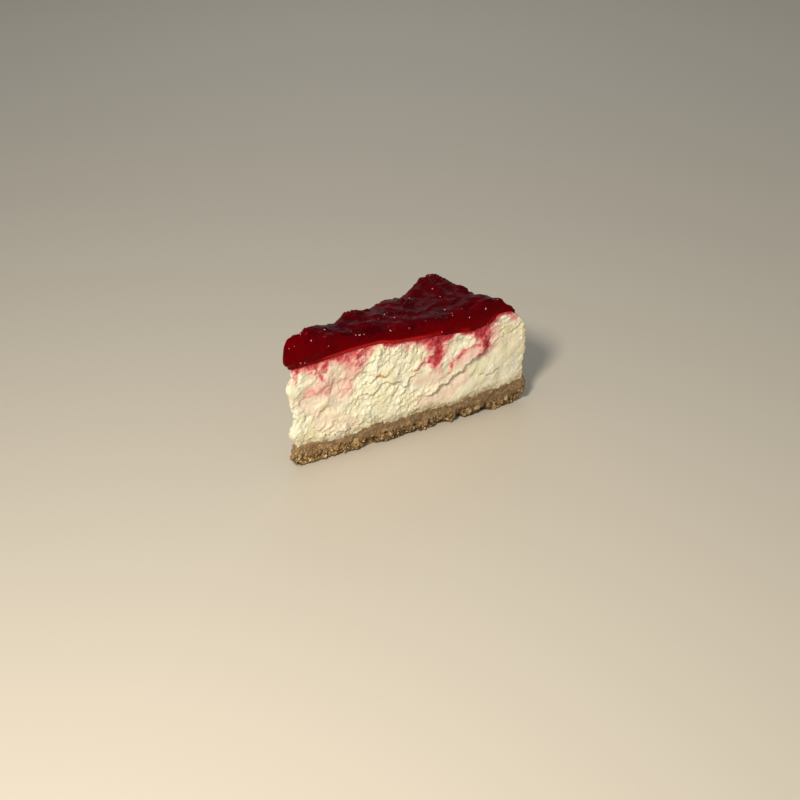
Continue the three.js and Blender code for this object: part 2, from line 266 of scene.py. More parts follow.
def ring_faces(rings, count, first=0, last=0):
    """Quads between rings of points. Ladders close both ends, from the points given as first and last."""
    index = np.arange(rings * count).reshape(rings, count)
    low, high = index[:-1], index[1:]
    quads = np.stack([low, np.roll(low, -1, axis=1), np.roll(high, -1, axis=1), high], axis=-1)
    start = np.roll(np.arange(count), -first)
    end = np.roll(np.arange(count), -last) + (rings - 1) * count
    faces = quads.reshape(-1, 4).tolist()
    faces += ladder(np.roll(start[::-1], 1).tolist())
    faces += ladder(end.tolist())
    return faces


def make_piece(name, points, faces, values, material, nodes):
    """A smooth mesh piece from points in millimetres, with the named numbers that its material reads"""
    mesh = bpy.data.meshes.new(name)
    mesh.from_pydata(((points - [ORIGIN_FROM_TIP, 0, 0]) * MM).tolist(), [], faces)
    for key, numbers in values.items():
        attribute = mesh.attributes.new(key, "FLOAT", "POINT")
        attribute.data.foreach_set("value", numbers.astype(np.float32).ravel())
    mesh.shade_smooth()
    mesh.materials.append(material)
    piece = bpy.data.objects.new(name, mesh)
    bpy.context.scene.collection.objects.link(piece)
    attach(piece, "root")
    if nodes:
        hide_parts(*nodes)
    return piece


def make_bits(name, places, normals, sizes, tones, random, material, squash, sunk, smoothed):
    """One piece of many small uneven lumps that lie along a surface, sunk in by a share of their size"""
    ball = bmesh.new()
    bmesh.ops.create_icosphere(ball, subdivisions=2, radius=0.5)
    corners = np.array([v.co for v in ball.verts])
    triangles = np.array([[v.index for v in face.verts] for face in ball.faces])
    ball.free()
    along = np.cross(normals, random.normal(size=normals.shape))
    along /= np.linalg.norm(along, axis=-1, keepdims=True)
    frames = np.stack([along, np.cross(normals, along), normals])
    each = np.arange(len(places))[:, None, None]
    # Each lump takes its own part of the noise, so that no two are alike
    uneven = 1 + 0.6 * noise(corners[None] + 10 * each, 0.4, 141)
    local = (corners[None] * uneven[..., None] * squash - [0, 0, sunk]) * sizes[:, None, None]
    points = places[:, None] + np.einsum("nka,anb->nkb", local, frames)
    points[..., 2] = np.maximum(points[..., 2], 0)
    faces = (triangles[None] + len(corners) * each).reshape(-1, 3).tolist()
    values = {"tone": np.repeat(tones, len(corners))}
    piece = make_piece(name, points.reshape(-1, 3), faces, values, material, [])
    if not smoothed:
        piece.data.shade_flat()
    return piece


# The filling

FILLING_OUTSET = 0.1
SHOULDER_START = 108
SHOULDER_WIDTH = CAKE_RADIUS - 1.6 - SHOULDER_START
SHOULDER_DROP = 13
RIM_SAG = 1.7
RIM_SAG_FROM = 92
CURD_SIZE = 8
CUT_RELIEF = 1
RIM_RELIEF = 0.4
FILLING_STEPS = (8, 290, 6, 52)
WALL_STEPS = 56
SHOULDER_STEPS = 42
INSET_STEPS = 12
TOP_INSET = 7

# How high over the base, and how far from the tip, crumbs stick to the filling
CRUMBS_REACH = 3.6
CRUMBS_END = 64

# The drag of the knife, and how the tip wanders forwards and back with height
FLOW_TILT = math.radians(36)
TIP_REACH = 4
TIP_WANDER = profile([(11, 0.5), (16.5, -1.4), (23.5, 0.4), (29.5, -0.9), (38, -2.3), (45, 0.6), (50, 0.9)])

# Tears in the cut faces, as (how far the face above stands proud, how far up that is felt, line)
TEARS = {
    FRONT: [
        (1.6, 9, [(68, 18.2), (70.5, 19.2), (73.5, 21.4), (77.6, 21.9), (80, 25.2), (84.7, 26.2),
                  (86.6, 29.4), (90, 31.8), (93.8, 32.7), (96.4, 34.6), (99, 39)]),
        (0.9, 4, [(39, 32.8), (43.4, 34.8), (47, 33.6)]),
        (0.95, 4, [(45, 30.2), (47.2, 30.8), (52, 29.2), (56.3, 26.8), (59.7, 30.2), (62, 31)]),
        (0.9, 5, [(33, 27.4), (36.7, 28), (40, 27), (45, 29.4)]),
        (0.9, 4, [(61, 33.4), (64, 35.4), (67.5, 35.2), (71, 37.4)]),
        (0.4, 4, [(8, 25), (14.5, 24), (19, 26.4)]),
        (0.5, 5, [(10, 20), (14.5, 16.7), (19.6, 13.6), (26, 12.4)]),
        (0.6, 4, [(92, 24.5), (94.4, 21.6), (100, 20.4), (104.3, 21.8)]),
        (0.5, 5, [(1, 30), (4, 27.6), (8, 28.4)]),
    ],
    BACK: [
        (1.2, 8, [(24, 22), (34, 25.6), (43, 30.6), (52, 31.8)]),
        (0.9, 5, [(66, 35.4), (74, 37.2), (82, 35.6)]),
        (0.8, 6, [(60, 22.4), (71, 20.6), (80, 23.4)]),
        (0.9, 6, [(92, 29.8), (101, 33.6), (111, 34.2)]),
        (0.6, 4, [(12, 35.6), (18, 38.2), (24, 37)]),
        (0.6, 4, [(88, 18.4), (97, 19.8), (106, 18.6)]),
    ],
}

# How far a tear takes to fade at its ends, how much stronger it is than the solid's, how deep the face below
# it is sunk, and how far down that is felt, as a share of its reach upwards
TEAR_FADE = 3
TEAR_PROUD = 1.15
TEAR_SUNK = 0.5
TEAR_BELOW = 1 / 3

# Where the knife left the curd smooth, as (strength, stroke)
SMOOTH_PATCHES = {
    FRONT: [
        (0.95, [(62, 27, 5), (70, 26.5, 6), (77, 26.5, 5)]),
        (0.9, [(82, 30.5, 4), (88, 34, 4), (93, 35, 3)]),
        (0.9, [(46, 32.4, 3), (51, 32, 3.6), (56, 30, 3.4)]),
        (0.8, [(66, 14.5, 5), (82, 16, 6), (94, 17, 5)]),
        (0.8, [(90, 27, 6), (100, 29, 8), (112, 31, 8)]),
        (0.6, [(98, 19, 6), (113, 20, 7)]),
        (0.6, [(24, 40, 6), (30, 36, 7), (34, 31, 5)]),
        (0.75, [(9, 44, 6), (11, 31, 9), (15, 20, 9)]),
        (0.7, [(21.8, 49, 2.4), (21.6, 38, 2.4)]),
        (0.5, [(24, 26, 7), (20, 18, 6)]),
        (0.6, [(100, 42, 4), (112, 44, 4)]),
    ],
    BACK: [
        (0.85, [(28, 30, 5), (38, 34, 6), (46, 36, 5)]),
        (0.8, [(60, 15, 5), (76, 15, 6)]),
        (0.6, [(92, 24, 6), (110, 27, 6)]),
        (0.5, [(68, 29, 5), (80, 30, 5)]),
    ],
}

# Where the curd has torn most roughly, and where mottled painted shade goes, as (strength, stroke)
TORN_PATCHES = {
    FRONT: [
        (0.9, [(45, 47, 4), (52, 46, 5), (60, 43, 6), (66, 40, 4)]),
        (0.7, [(80, 44, 4), (86, 41, 4)]),
        (0.9, [(102, 46, 3), (106, 43, 5), (111, 40, 4)]),
        (0.6, [(22, 28, 4), (29, 29, 5)]),
    ],
    BACK: [
        (0.9, [(14, 44, 4), (24, 42, 6), (34, 44, 4)]),
        (0.8, [(62, 42, 5), (72, 40, 5)]),
        (0.7, [(96, 44, 4), (106, 42, 5)]),
    ],
}

# Where the compote has run into the curd, as (strength, stroke)
STAINS = {
    FRONT: [
        (0.65, [(3.4, 50, 3), (4.4, 47, 2.2), (4.6, 43, 1.4)]),
        (0.5, [(8, 49, 5), (13, 46, 5)]),
        (0.75, [(14.4, 50, 4), (15, 46, 3), (16.2, 41, 2)]),
        (0.7, [(18.6, 50, 2.4), (18, 45, 1.8)]),
        (0.55, [(25, 49.5, 4), (33, 48.5, 4), (40, 50, 4)]),
        (0.36, [(27, 46.5, 5), (33, 43.5, 7), (39, 47, 4)]),
        (0.28, [(33, 43, 8), (30, 37, 7), (28.5, 31, 5)]),
        (0.28, [(10.5, 35.4, 4.5), (17.5, 36, 5)]),
        (0.4, [(54, 49, 4), (58, 47.8, 4), (57, 44, 2.4)]),
        (0.8, [(62, 48.6, 4), (71, 47, 7), (79, 46, 4.4)]),
        (0.88, [(71.5, 48, 14), (73, 42, 9.6), (72.6, 37, 5.4), (72, 34, 3.8)]),
        (0.35, [(71, 33, 4.2), (73, 30.4, 3.4)]),
        (0.55, [(61.5, 33.4, 2), (65, 35.2, 2.8), (70, 36, 4)]),
        (0.75, [(86, 46, 4), (93, 45.5, 6), (99, 46.6, 4)]),
        (0.82, [(93.5, 46, 9), (96.5, 40.5, 5.8), (96.6, 36.5, 4.4)]),
        (0.5, [(97, 36, 5), (94.4, 32.4, 4)]),
        (0.47, [(96, 35.6, 2.4), (92.3, 37.2, 2.6), (88.9, 36.9, 2.7), (84.5, 35.4, 2.7), (81, 33, 2.4),
                (79.4, 30, 2)]),
        (0.4, [(79.6, 31, 2), (78.8, 27, 1.8)]),
        (0.3, [(102, 43, 6), (101, 37, 5), (95, 31, 4)]),
        (0.5, [(108, 50, 4), (112.5, 46.5, 4)]),
        (0.26, [(82, 31.5, 6), (92, 35, 5)]),
        (0.17, [(66, 16, 9), (76, 17, 10), (86, 23, 8)]),
        (0.16, [(62, 27, 7), (74, 27, 7)]),
        (0.14, [(8, 32, 12), (18, 20, 14), (30, 14, 9)]),
        (0.2, [(18, 42, 12), (25, 32, 10)]),
        (0.1, [(100, 32, 9), (114, 37, 9)]),
    ],
    BACK: [
        (0.9, [(7, 52, 4.4), (10, 45, 2.8), (9, 39, 1.6)]),
        (0.95, [(25, 53, 7), (31, 46, 5), (33, 38, 3)]),
        (0.5, [(34, 38, 4), (39, 32, 4)]),
        (0.85, [(51, 51, 6), (57, 45, 3)]),
        (0.98, [(79, 48, 8), (84, 41, 5), (89, 36, 3)]),
        (0.6, [(90, 36, 2), (97, 38, 1.8), (103, 40, 1.5)]),
        (0.55, [(106, 50, 4), (112, 46, 3)]),
        (0.2, [(50, 24, 10), (70, 20, 10)]),
        (0.2, [(12, 32, 10), (22, 22, 10)]),
    ],
}

# Where whey has dried amber in a tear, as (strength, stroke)
AMBER = {
    FRONT: [(0.9, [(42.6, 34.3, 0.9), (46.6, 34, 0.9)]), (0.3, [(48, 30.2, 0.8), (56, 28.6, 0.8)])],
    BACK: [(0.5, [(64, 33, 1), (68, 33.6, 1)])],
}


def shoulder_drop(radius):
    over = np.clip((radius - SHOULDER_START) / SHOULDER_WIDTH, 0, 1)
    return SHOULDER_DROP * (1 - np.sqrt(1 - over * over))


def filling_level(x, y):
    """The filling's top as if it ran on level to the rim: it sags there towards the back"""
    across = y / (x * math.tan(HALF_ANGLE))
    return boundary_at(FILLING_TOP, x) - RIM_SAG * (1 + across) * smooth(x, RIM_SAG_FROM, SHOULDER_START)


def filling_top(x, y):
    return filling_level(x, y) - shoulder_drop(np.hypot(x, y))


def tear_relief(points, side, distance):
    """Ledges along the tears, where the face stands proud above each line, and the painted shade at their
    feet
    """
    relief = np.zeros_like(distance)
    foot = np.zeros_like(distance)
    wander = waves(points, (0.7, 2.6, 41), (0.6, 1.2, 42))
    for which, tears in TEARS.items():
        for proud, reach, knots in tears:
            start, stop = knots[0][0], knots[-1][0]
            begun = smooth(distance, start - TEAR_FADE, start + TEAR_FADE)
            ended = smooth(distance, stop - TEAR_FADE, stop + TEAR_FADE)
            there = begun * (1 - ended) * mix(0.7, 1, smooth(noise(points, 4, 43), -0.4, 0.1))
            there = np.where(side == which, there, 0)
            above = points[..., 2] + wander - profile(knots)(distance)
            upper = np.exp(-np.maximum(above, 0) / reach)
            lower = -TEAR_SUNK * np.exp(np.minimum(above, 0) / (reach * TEAR_BELOW))
            relief += TEAR_PROUD * proud * there * mix(lower, upper, smooth(above, -0.4, 0.3))
            # Painted shade in the curd just under each ledge
            dark = smooth(above, -0.6 - 0.3 * proud, -0.35) * (1 - smooth(above, -0.1, 0.35))
            foot = np.maximum(foot, there * dark * smooth(proud, 0.4, 1.5))
    return relief, foot


def curd_relief(points, side, distance):
    """Torn curd: soft pillows and small scarps along the drag of the knife, calmer on smooth patches"""
    z = points[..., 2]
    calm_s = distance + waves(points, (1.5, 4, 54))
    calm_z = z + waves(points, (1.5, 4, 55))
    wild_s = distance + waves(points, (1.5, 3, 57))
    wild_z = z + waves(points, (1.5, 3, 58))
    calm = strokes(SMOOTH_PATCHES, side, calm_s, calm_z)
    wild = strokes(TORN_PATCHES, side, wild_s, wild_z)
    rough = (1 - 0.85 * calm) * mix(0.6, 1.25, smooth(noise(points, 9, 56), -0.4, 0.4)) * (1 + 0.7 * wild)
    rough = np.where(side == RIM, 0.15, rough)
    flow = along_flow(shifted(points, 5, 1.8, 51), FLOW_TILT, 1.5)
    pillow = np.hypot(noise(flow, 4.2, 61), 0.12)
    small = np.hypot(noise(along_flow(shifted(points, 2.5, 0.9, 52), FLOW_TILT, 1.5), 1.7, 63), 0.08)
    fine = np.abs(noise(points, 1, 65))
    scarps = broken(flow, 5.5, 0.55, 67)
    combed = noise(along_flow(shifted(points, 4, 1, 53), FLOW_TILT, 3.5), 1.1, 69) * smooth(distance, 20, 40)
    relief = rough * (0.4 * pillow + 0.4 * small + 0.65 * fine + 0.32 * scarps + 0.3 * combed - 0.4)
    # The second number is painted shade, mottled over the most roughly torn patches
    return relief, wild * smooth(waves(points, (1, 1.7, 73), (0.6, 0.9, 74)), -0.2, 0.7)


def make_filling(material):
    rim_top = FILLING_TOP(CAKE_RADIUS)
    rim_foot = BASE_TOP(CAKE_RADIUS) - OVERLAP
    shoulder_foot = rim_top - SHOULDER_DROP
    ups = np.concatenate([np.arange(WALL_STEPS) / WALL_STEPS, np.ones(SHOULDER_STEPS + 1 + INSET_STEPS)])
    turns = np.concatenate([np.zeros(WALL_STEPS), np.linspace(0, math.pi / 2, SHOULDER_STEPS + 1),
                            np.full(INSET_STEPS, math.pi / 2)])
    insets = np.concatenate([np.zeros(WALL_STEPS + SHOULDER_STEPS + 1),
                             TOP_INSET * np.arange(1, INSET_STEPS + 1) / INSET_STEPS])
    heights = mix(rim_foot, shoulder_foot, ups) + SHOULDER_DROP * np.sin(turns)
    shares = ((heights - rim_foot) / (rim_top - rim_foot))[:, None]
    radii = SHOULDER_START + SHOULDER_WIDTH * np.cos(turns) - insets
    outlines = [Outline(r, FILLING_OUTSET - inset, FILLING_STEPS) for r, inset in zip(radii, insets)]
    place = np.stack([o.place for o in outlines])
    out = np.stack([o.out for o in outlines])
    distance = np.stack([o.distance for o in outlines])
    side = np.broadcast_to(outlines[0].side, distance.shape)
    x, y = place[..., 0], place[..., 1]
    level = np.where(insets[:, None] > 0, filling_top(x, y), filling_level(x, y))
    grid = np.dstack([place, mix(boundary_at(BASE_TOP, x) - OVERLAP, level, shares)])

    # Tears, lumps and folds push the walls straight out, and the tip wanders
    on_wall = (insets == 0)[:, None]
    calm = (1 - 0.6 * smooth(shares, 0.9, 1)) * mix(0.6, 1, smooth(shares, 0, 0.12)) * on_wall
    torn, foot = tear_relief(grid, side, distance)
    on_face = side != RIM
    relief = torn + lumps(grid, mix(RIM_RELIEF, CUT_RELIEF, on_face), CURD_SIZE, SOLID_SEEDS["filling"])
    relief = relief + 0.3 * on_face * noise(grid, 4, 23)
    folded = along_flow(shifted(grid, 7, 2, 24), FLOW_TILT, 1.4)
    relief = relief + 0.75 * broken(folded, 9, 1, 27) * on_face * (1 - smooth(distance, 32, 48))
    grid += out * (relief * calm)[..., None]
    wander = TIP_WANDER(grid[..., 2]) * np.exp((distance[:, :1] - distance) / TIP_REACH) * on_wall
    grid[..., 0] += wander

    # Curds push out along the torn surface, less near the top and where the front lies flush with the base
    curds, crease_shade = curd_relief(grid, side, distance)
    # Painted shade: the ledges' feet, the torn patches, and the front face darkening towards the rim end
    crease_shade = np.maximum(0.6 * crease_shade, foot) + 0.1 * smooth(distance, 80, 112) * (side == FRONT)
    near_tip = np.exp((distance[:, :1] - distance) / TIP_REACH)
    curds = curds * np.where(on_wall, 1, 0.15) + 1.3 * near_tip * on_wall * lumps(grid, 1, 5, 75)
    above_base = grid[..., 2] - boundary_at(BASE_TOP, x)
    flush = (1 - smooth(above_base, 0, 3.5)) * smooth(distance, 40, 60) * (side == FRONT)
    curds_left = (1 - 0.5 * smooth(shares, 0.94, 1)) * (1 - 0.85 * flush)
    grid += grid_normals(grid) * (curds * curds_left)[..., None]

    # Stains with ragged edges, and a fringe of juice all along under the compote
    z = grid[..., 2]
    ragged_s = distance + waves(grid, (1.3, 3.6, 81), (0.8, 1.2, 82))
    ragged_z = z + waves(grid, (1.3, 3.6, 83), (0.8, 1.2, 84))
    stain = strokes(STAINS, side, ragged_s, ragged_z)
    streaks = 0.8 * noise(along_flow(grid, FLOW_TILT, 1.6), 1.3, 85) + 0.7 * noise(grid, 3, 86)
    stain = stain + 1.4 * stain * (1 - stain) * streaks * smooth(stain, 0.2, 0.6) - 0.25 * stain * curds
    depth = boundary_at(FILLING_TOP, grid[..., 0]) - z
    fringe_depth = depth + waves(grid, (1.1, 3.5, 87), (0.7, 1.3, 89))
    spread = mix(1.2, 4.5, smooth(noise(grid, 8, 90), -0.4, 0.5))
    thin = 1 - smooth(fringe_depth, 0.9, 2.5)
    deep = 1 - smooth(fringe_depth / spread, 0.3, 1.3)
    fringe = 0.45 * thin + 0.35 * deep
    across = y / (x * math.tan(HALF_ANGLE))
    past_end = np.hypot(x, y) - topping_end(across) + waves(grid, (0.8, 2.2, 93))
    fringe = np.where(on_wall, fringe * (side != RIM), 0.7 * (1 - smooth(past_end, 0, 1.8)))
    stain = np.clip(1 - (1 - np.clip(stain, 0, 1)) * (1 - fringe), 0, 1)
    # The browned rim, the dried whey, and biscuit smeared over the foot of the curd
    rimward = np.where(side == RIM, 1, 0.8 * smooth(distance, 116.2, 117.4))
    rimward = np.where(on_wall, rimward, smooth(np.hypot(x, y), 104, 112))
    amber = strokes(AMBER, side, distance, z + 0.4 * noise(grid, 2.6, 94))
    above = z - boundary_at(BASE_TOP, grid[..., 0])
    ragged_above = above + 1.1 * noise(along_flow(grid, 0, 5), 1.5, 88) + 0.9 * noise(grid, 1.1, 92)
    smear = 1 - smooth(ragged_above, 0.2, 4)
    smear = smear * mix(0.5, 1, smooth(distance, 40, 65))
    values = {"stain": stain, "crease_shade": crease_shade, "toast": rimward, "amber": amber, "smear": smear}
    faces = ring_faces(*distance.shape)
    make_piece("filling_curd", grid.reshape(-1, 3), faces, values, material, ["cheese_filling"])
    near_base = on_wall & (side != RIM) & (above > OVERLAP) & (above < CRUMBS_REACH) & (distance < CRUMBS_END)
    return grid, near_base


# The compote

# It bulges over the tip, stands out past the cut faces and ends short of the rim, more so in the middle
# (hollow) and at the back (skew)
TOPPING_NOSE = 0.9
NOSE_LENGTH = 3.5
NOSE_HALF_WIDTH = 0.3
NOSE_RISE = 3
NOSE_FULLNESS = 0.35
NOSE_TUCK = 1.8
NOSE_REACH = 0.85
NOSE_REACH_ENDS = 6
TOPPING_OUTSET = 0.5
TOPPING_END = 112.6
END_OUTSET = -0.6
END_TAPER = 20
TOPPING_HOLLOW = 5
TOPPING_SKEW = 5
BERRY_SIZE = 7
BERRY_RELIEF = 1.7
BERRY_LEVEL = 50
DRUPELET_SIZE = 2.1
BERRIES_AT_END = 0.35
CREST_ROUND = 1.3
CREST_SHARPNESS = 8
CREST_WIDTH = 0.985
SIDE_BELLY = 1.1
THINNEST = 0.7
TOPPING_STEPS = 285
UNDER_STEPS = 40
SIDE_STEPS = 22
OVER_STEPS = 116

FRONT_CREST = profile([
    (0, 60.5), (20, 60.2), (40, 57.4), (55, 56), (88, 55.6), (100, 58), (105, 57), (110, 52.4), (113, 49.6),
])
BACK_CREST = profile([
    (0, 62.4), (20, 62), (31, 58.2), (42, 60.4), (49, 58.6), (56, 56), (66, 56.4), (77, 53.6), (84, 55),
    (92, 58.4), (97, 57.6), (102, 54), (108, 50.5), (113, 48),
])
CROWN = profile([(0, 2.4), (15, 2), (40, 0.6), (86, 0.3), (98, -0.6)])

# Berries that still show their drupelets, as (distance from the tip, place across, size)
WHOLE_BERRIES = [
    (35, -0.72, 4), (42, 0.8, 6), (14, 0.2, 5), (70, 0.35, 7), (93, 0.75, 8), (101, -0.1, 7), (58, -0.1, 5),
]


def topping_end(across):
    """How far from the tip the topping ends: it is hollowed in the middle and shorter at the back"""
    return TOPPING_END - TOPPING_HOLLOW * (1 - across**2) - TOPPING_SKEW * (1 + across) * 0.5


def topping_place(radius, across, outward):
    """Points on the topping's underside, pushed outward sideways, and how full the section is, from 0 to 1"""
    nose = np.sqrt(1 - (1 - np.clip((radius - TOPPING_NOSE) / NOSE_LENGTH, 0, 1)) ** 2)
    taper = smooth(radius, TOPPING_END - END_TAPER, TOPPING_END)
    outset = mix(TOPPING_OUTSET, END_OUTSET, taper)
    half_width = (radius * HALF_ANGLE + outset) * nose + NOSE_HALF_WIDTH
    reach = radius - taper * (TOPPING_END - topping_end(across))
    swing = across * (half_width + outward * nose) / radius
    x, y = reach * np.cos(swing), reach * np.sin(swing)
    forward = NOSE_REACH * (1 - smooth(radius, TOPPING_NOSE, NOSE_REACH_ENDS))
    return np.stack([x - forward, y, filling_top(x, y)], axis=-1), nose


def topping_full(radius, across, points):
    """The height of the topping's upper surface: its crests, its crown between them and the berries"""
    crest = mix(FRONT_CREST(radius), BACK_CREST(radius), (across + 1) / 2)
    settled = mix(1, BERRIES_AT_END, smooth(radius, TOPPING_END - BERRY_SIZE, TOPPING_END))
    level_points = points * [1, 1, 0] + [0, 0, BERRY_LEVEL]
    berries = settled * lumps(level_points, BERRY_RELIEF, BERRY_SIZE, SOLID_SEEDS["topping"])
    return crest + CROWN(radius) * (1 - across**2) + berries


def make_topping(material):
    along = (np.arange(TOPPING_STEPS + 1) / TOPPING_STEPS) ** 1.2
    radius = mix(TOPPING_NOSE, TOPPING_END, along)[:, None]
    under = np.linspace(-1, 1, UNDER_STEPS + 1)
    over = np.linspace(1, -1, OVER_STEPS + 1)
    share = np.arange(1, SIDE_STEPS) / SIDE_STEPS
    across = np.concatenate([under, np.ones(SIDE_STEPS - 1), over, -np.ones(SIDE_STEPS - 1)])[None, :]
    up = np.concatenate([np.zeros(len(under)), share, np.ones(len(over)), share[::-1]])[None, :]
    is_over = np.concatenate([under * 0, share * 0, over * 0 + 1, share * 0])[None, :] > 0

    # Round the tip the sides belly out, and further back they hardly do and tuck in at the foot
    tuck = smooth(radius, 8, 30)
    belly = mix(SIDE_BELLY, 0.1, tuck) * np.sin(up * math.pi) - 0.15 * tuck * (1 - smooth(up, 0, 0.5))
    belly = belly * (1 - smooth(radius, TOPPING_END - NOSE_LENGTH, TOPPING_END))
    grid, nose = topping_place(radius, np.where(is_over, across * CREST_WIDTH, across), belly * ~is_over)
    foot = grid[..., 2].copy()
    full = topping_full(radius, across, grid)
    # The upper edge is rounded less, and more tightly, than the solid's
    edge = 0.6 * CREST_ROUND * np.where(is_over, np.abs(across) ** (2 * CREST_SHARPNESS), 1)
    risen = mix(foot + NOSE_RISE, full - edge, mix(NOSE_FULLNESS, 1, nose))
    grid[..., 2] = mix(foot, np.maximum(foot + THINNEST, risen), up) - OVERLAP * (up == 0)
    grid[..., 0] += NOSE_TUCK * (1 - smooth(up, 0, 0.35)) * (1 - smooth(radius, 1, 7))

    # Folds of jelly on top, drupelets on the whole berries, and waves in the cut sides, calm at both ends
    berry = np.zeros_like(foot)
    for distance, place, size in WHOLE_BERRIES:
        centre = [distance * math.cos(place * HALF_ANGLE), distance * math.sin(place * HALF_ANGLE)]
        away = np.hypot(grid[..., 0] - centre[0], grid[..., 1] - centre[1]) / size
        berry = np.maximum(berry, 1 - smooth(away, 0.35, 1))
    on_top = smooth(up, 0.75, 1) * smooth(radius, 2, 6)
    warped = shifted(grid, 6, 2.4, 91)
    folds = 1 - np.abs(noise(along_flow(warped, 0, 1.8), 7, 95))
    wrinkles = 0.7 * (folds**3 - 0.35) + 0.2 * noise(warped, 2.4, 97) + 0.1 * noise(grid, 1.2, 98)
    drupelets, _ = cobbles(grid, DRUPELET_SIZE, 101)
    top = mix(wrinkles, 1.1 * (drupelets - 0.3), berry * 0.8)
    near_edge = smooth(np.abs(across), 0.75, 1) * is_over
    edge_lumps = waves(grid, (0.5, 1.7, 105), (0.6, 3.4, 104)) * near_edge
    cut = 0.38 * noise(along_flow(grid, 0, 2), 4, 106) + 0.16 * noise(grid, 1.5, 107)
    relief = mix(cut, top + edge_lumps, on_top) * (up > 0)
    calm_end = 1 - smooth(radius, TOPPING_END - 9, TOPPING_END - 1) * 0.75
    calm_nose = smooth(radius, TOPPING_NOSE, 1.9)
    grid += grid_normals(grid) * (relief * calm_end * calm_nose)[..., None]

    # A painted glow lights the thin lower edge, less so towards the rim and at the back. Painted light makes
    # the sides and the nose brighter than the top.
    height = grid[..., 2] - foot
    patchy = mix(0.4, 1, smooth(noise(grid, 5, 109), -0.4, 0.4))
    broad = 0.6 * (1 - smooth(up, 0, 0.5)) * smooth(radius, 20, 45) * patchy
    past_nose = smooth(radius, NOSE_LENGTH, NOSE_LENGTH + 3) * mix(0.6, 1, smooth(radius, 12, 20))
    along_edge = past_nose * mix(1, 0.4, smooth(radius, 62, 76)) * mix(0.7, 1, patchy)
    thin_edge = (1 - smooth(height, 0, 1.5)) * along_edge
    painted_glow = np.maximum(broad, thin_edge) * (1 - smooth(radius, TOPPING_END - 6, TOPPING_END - 1))
    painted_glow = painted_glow * mix(1, 0.55, smooth(across, 0, 1))
    lit = np.where(is_over, 0.5 * smooth(np.abs(across), 0.6, 1), mix(1.1, 0.5, smooth(up, 0.35, 1)))
    lit = np.maximum(lit * np.ones_like(foot), 0.9 * (1 - smooth(radius, 4, 26)))
    # The number named cut carries the painted light on the sides and nose
    values = {"painted_glow": painted_glow, "cut": lit, "fold_valley_shade": mix(1, np.clip(0.5 + top, 0, 1), on_top)}
    faces = ring_faces(*foot.shape, first=UNDER_STEPS // 2, last=UNDER_STEPS + 1 + (SIDE_STEPS - 1) // 2)
    make_piece("compote", grid.reshape(-1, 3), faces, values, material, ["berry_topping"])
    return grid, (on_top * np.ones_like(foot)).astype(float), across * np.ones_like(foot)


# Seeds that stand out on the front, also standing for painted glints, as (distance from the tip, height)
FRONT_SEEDS_AND_GLINTS = [
    (4.9, 62), (2.3, 59.5), (7, 51.8), (9, 51.2), (19.9, 56.3), (33.8, 59.6), (35, 60.6), (36.6, 60.2),
    (37, 59), (35.4, 58.6), (49.3, 55.5), (67.2, 56), (74.2, 48.6), (79.9, 54.9), (96.3, 54.3), (88, 52.4),
    (58, 54.4),
]
SCATTERED_SEEDS = 60
SEED_SIZES = (0.3, 0.7)


def make_seeds(grid, on_top, across, material):
    """Seeds half sunk in the compote: some picked out on the front, the rest scattered over the top"""
    random = np.random.default_rng(7)
    normals = grid_normals(grid).reshape(-1, 3)
    points = grid.reshape(-1, 3)
    top = np.flatnonzero((on_top.ravel() > 0.9) & (normals[:, 2] > 0.5))
    chance = points[top, 0] / points[top, 0].sum()
    picked = random.choice(top, SCATTERED_SEEDS, replace=False, p=chance).tolist()
    distance = np.hypot(points[:, 0], points[:, 1]) + np.where(across.ravel() > -0.9, CAKE_RADIUS, 0)
    picked += [int(np.argmin(np.hypot(distance - s, points[:, 2] - z))) for s, z in FRONT_SEEDS_AND_GLINTS]
    picked = np.array(picked)
    sizes = random.uniform(*SEED_SIZES, len(picked))
    tones = random.uniform(0, 1, len(picked)) ** 1.5
    # The front seeds get pale tones: pale seeds and painted highlights both
    tones[SCATTERED_SEEDS:] = random.uniform(0.4, 1, len(FRONT_SEEDS_AND_GLINTS))
    make_bits("seeds_and_glints", points[picked], normals[picked], sizes, tones, random, material,
              squash=(1.3, 0.8, 0.6), sunk=0.05, smoothed=True)


# The base

BASE_OUTSET = 0.5
BASE_RIM_INSET = 0.3
BASE_STEPS = (8, 370, 6, 66)
BASE_WALL_STEPS = 34
BASE_UNDER_STEPS = 5
EDGE_LIFT = 0.5
EDGE_INSET = 0.9
FOOT_INSET = 2.4
FOOT_CORNER = 4.5
FOOT_UNDER_CHIP = 0.8
CHIP_CORE = 0.55
BAND_INSET = 0.35
CRUMB_RELIEF = 1.3
SMEAR_RELIEF = 0.35
SMEAR_FROM = 5
SMEAR_FULL = 8
LUMP_SIZE = 4.4
LARGE_CRUMBS = 2.9
SMALL_CRUMBS = 1.15

# Chips out of the lower edge, as (distance from the tip, or place across on the rim, radius, height)
FRONT_CHIPS = [
    (0, 4.6, 3.2), (38, 3.6, 3.8), (60, 3.2, 1.6), (75, 3.6, 3), (84, 3.4, 3), (97, 3.4, 3),
    (120.5, 9.5, 4.6),
]
BACK_CHIPS = [(21, 4, 1.6), (47, 5, 2.4), (70, 3.4, 1.4), (92, 4.4, 2.6), (118, 5, 3)]
RIM_CHIPS = [(-0.25, 4, 2.2), (0.15, 5, 1.2), (0.55, 4, 2.4)]
CHIPS = (
    [(distance, -HALF_ANGLE, radius, height) for distance, radius, height in FRONT_CHIPS]
    + [(distance, HALF_ANGLE, radius, height) for distance, radius, height in BACK_CHIPS]
    + [(CAKE_RADIUS, across * HALF_ANGLE, radius, height) for across, radius, height in RIM_CHIPS]
)


